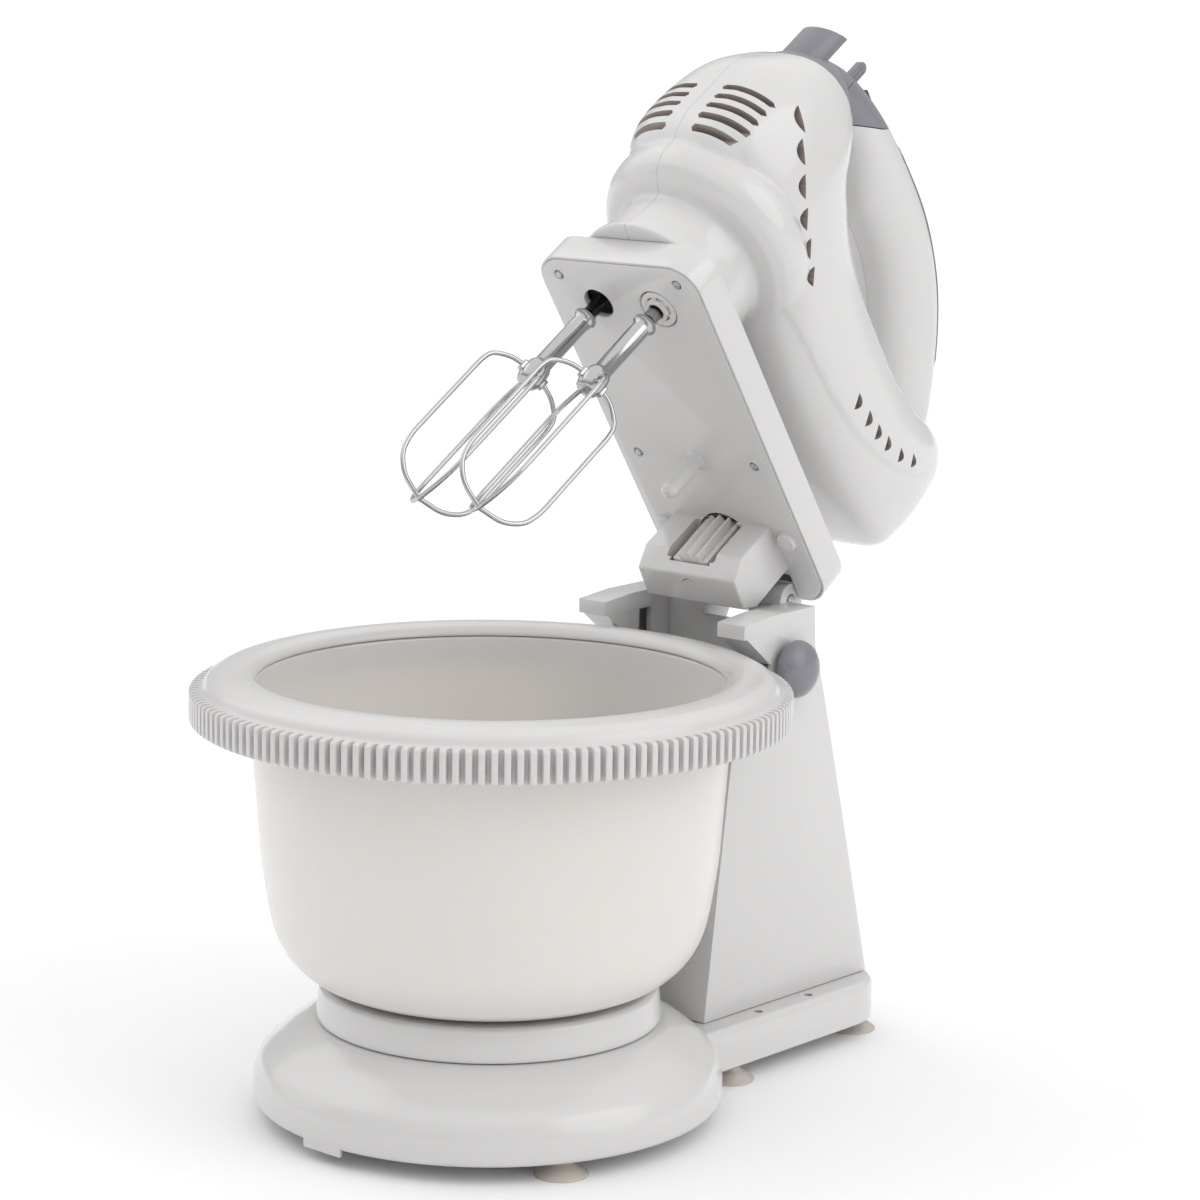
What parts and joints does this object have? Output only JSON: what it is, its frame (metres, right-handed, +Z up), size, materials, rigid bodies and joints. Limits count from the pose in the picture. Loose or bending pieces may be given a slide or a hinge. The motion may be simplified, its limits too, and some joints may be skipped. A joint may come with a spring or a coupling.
{
  "type": "stand mixer",
  "caption": "Hand mixer latched on a tilting arm above a rotating bowl; the arm hinges on a column that rises from a round base on suction feet, shown with its head tipped back.",
  "frame": {"origin": "centre of the footprint, on the surface the mixer stands on", "axes": "+Z up; -Y is the front, from the column towards the bowl; +X is the side with the release button"},
  "size_m": [0.24, 0.3996, 0.4335],
  "materials": {
    "white_abs": "gloss",
    "bowl_white": "gloss",
    "grey_abs": "satin",
    "nylon": "satin",
    "foot_rubber": "soft translucent",
    "dark_plastic": "matt",
    "chrome": "polished",
    "steel": "zinc plated",
    "copper_winding": "enamelled wire"
  },
  "bodies": {
    "stand": {"base_shell": "white_abs", "base_bottom_plate": "white_abs", "seat_spindle": "steel", "suction_foot_front_right": "foot_rubber", "suction_foot_front_left": "foot_rubber", "suction_foot_middle_right": "foot_rubber", "suction_foot_middle_left": "foot_rubber", "suction_foot_rear_right": "foot_rubber", "suction_foot_rear_left": "foot_rubber", "column_shell": "white_abs", "hinge_pin": "steel", "column_screw_1": "steel", "column_screw_2": "steel", "column_screw_3": "steel", "column_screw_4": "steel"},
    "bowl_seat_body": {"bowl_seat": "white_abs"},
    "bowl_body": {"bowl": "bowl_white", "bowl_gear_ring": "white_abs"},
    "head_arm": {"arm_bottom_plate": "white_abs", "arm_top_shell": "white_abs", "arm_screw_1": "steel", "arm_screw_2": "steel", "arm_screw_3": "steel", "arm_screw_4": "steel", "idler_pin_1": "steel", "idler_pin_2": "steel", "mixer_right_housing": "white_abs", "mixer_left_housing": "white_abs", "control_panel": "grey_abs", "grip_inlay": "grey_abs", "cord_gland": "dark_plastic", "motor_stator": "copper_winding", "motor_bracket": "dark_plastic", "speed_switch": "dark_plastic"},
    "armature": {"motor_armature": "steel"},
    "right_spindle_body": {"right_spindle": "nylon"},
    "left_spindle_body": {"left_spindle": "nylon"},
    "right_beater_body": {"right_beater": "chrome"},
    "left_beater_body": {"left_beater": "chrome"},
    "drive_sleeve_body": {"beater_drive_sleeve": "nylon"},
    "idler_1_body": {"idler_gear_1": "nylon"},
    "idler_2_body": {"idler_gear_2": "nylon"},
    "pinion_body": {"bowl_drive_pinion": "nylon"},
    "speed_selector_body": {"speed_selector": "grey_abs"},
    "eject_button_body": {"eject_button": "grey_abs"},
    "turbo_button_body": {"turbo_button": "dark_plastic"},
    "release_button_body": {"release_button": "grey_abs"}
  },
  "joints": [
    {"name": "head_tilt", "type": "hinge", "parent": "stand", "child": "head_arm", "pos_m": [0, 0.0797, 0.1925], "axis": [-1, 0, 0], "range_deg": [-56.4, 0]},
    {"name": "bowl_removal", "type": "slide", "parent": "stand", "child": "bowl_seat_body", "axis": [0, -0.788, 0.6157], "range_m": [0, 0.06]},
    {"name": "bowl_spin", "type": "hinge", "parent": "bowl_seat_body", "child": "bowl_body", "pos_m": [0, -0.0798, 0.06], "axis": [0, 0, 1], "continuous": true},
    {"name": "motor_spin", "type": "hinge", "parent": "head_arm", "child": "armature", "pos_m": [0, 0.10259, 0.30135], "axis": [0, -0.5534, 0.8329], "continuous": true},
    {"name": "right_spindle_spin", "type": "hinge", "parent": "head_arm", "child": "right_spindle_body", "pos_m": [0.01605, 0.04947, 0.35419], "axis": [0, 0.8329, 0.5534], "continuous": true},
    {"name": "left_spindle_spin", "type": "hinge", "parent": "head_arm", "child": "left_spindle_body", "pos_m": [-0.01605, 0.04947, 0.35419], "axis": [0, 0.8329, 0.5534], "continuous": true},
    {"name": "right_beater_pull", "type": "slide", "parent": "right_spindle_body", "child": "right_beater_body", "axis": [0, -0.8329, -0.5534], "range_m": [0, 0.02]},
    {"name": "left_beater_pull", "type": "slide", "parent": "left_spindle_body", "child": "left_beater_body", "axis": [0, -0.8329, -0.5534], "range_m": [0, 0.02]},
    {"name": "drive_sleeve_spin", "type": "hinge", "parent": "head_arm", "child": "drive_sleeve_body", "pos_m": [0.01605, 0.00366, 0.32375], "axis": [0, 0.8329, 0.5534], "continuous": true},
    {"name": "idler_1_spin", "type": "hinge", "parent": "head_arm", "child": "idler_1_body", "pos_m": [-0.00188, 0.02283, 0.2949], "axis": [0, 0.8329, 0.5534], "continuous": true},
    {"name": "idler_2_spin", "type": "hinge", "parent": "head_arm", "child": "idler_2_body", "pos_m": [0, 0.05048, 0.25329], "axis": [0, 0.8329, 0.5534], "continuous": true},
    {"name": "pinion_spin", "type": "hinge", "parent": "head_arm", "child": "pinion_body", "pos_m": [0, 0.0679, 0.21804], "axis": [0, 0.8329, 0.5534], "continuous": true},
    {"name": "speed_select", "type": "slide", "parent": "head_arm", "child": "speed_selector_body", "axis": [1, 0, 0], "range_m": [-0.012, 0]},
    {"name": "eject_press", "type": "slide", "parent": "head_arm", "child": "eject_button_body", "axis": [0, -0.8329, -0.5534], "range_m": [0, 0.003], "stiffness_N_per_m": 400, "springref_m": -0.002},
    {"name": "turbo_press", "type": "slide", "parent": "head_arm", "child": "turbo_button_body", "axis": [0, -0.8329, -0.5534], "range_m": [0, 0.002], "stiffness_N_per_m": 400, "springref_m": -0.002},
    {"name": "release_press", "type": "slide", "parent": "stand", "child": "release_button_body", "axis": [-1, 0, 0], "range_m": [0, 0.002], "stiffness_N_per_m": 400, "springref_m": -0.002}
  ],
  "couplings": [
    {"joint": "right_spindle_spin", "follows": "motor_spin", "ratio": 0.0625},
    {"joint": "left_spindle_spin", "follows": "motor_spin", "ratio": -0.0625},
    {"joint": "drive_sleeve_spin", "follows": "motor_spin", "ratio": 0.0625},
    {"joint": "idler_1_spin", "follows": "motor_spin", "ratio": -0.035},
    {"joint": "idler_2_spin", "follows": "motor_spin", "ratio": 0.035},
    {"joint": "pinion_spin", "follows": "motor_spin", "ratio": -0.0625}
  ]
}
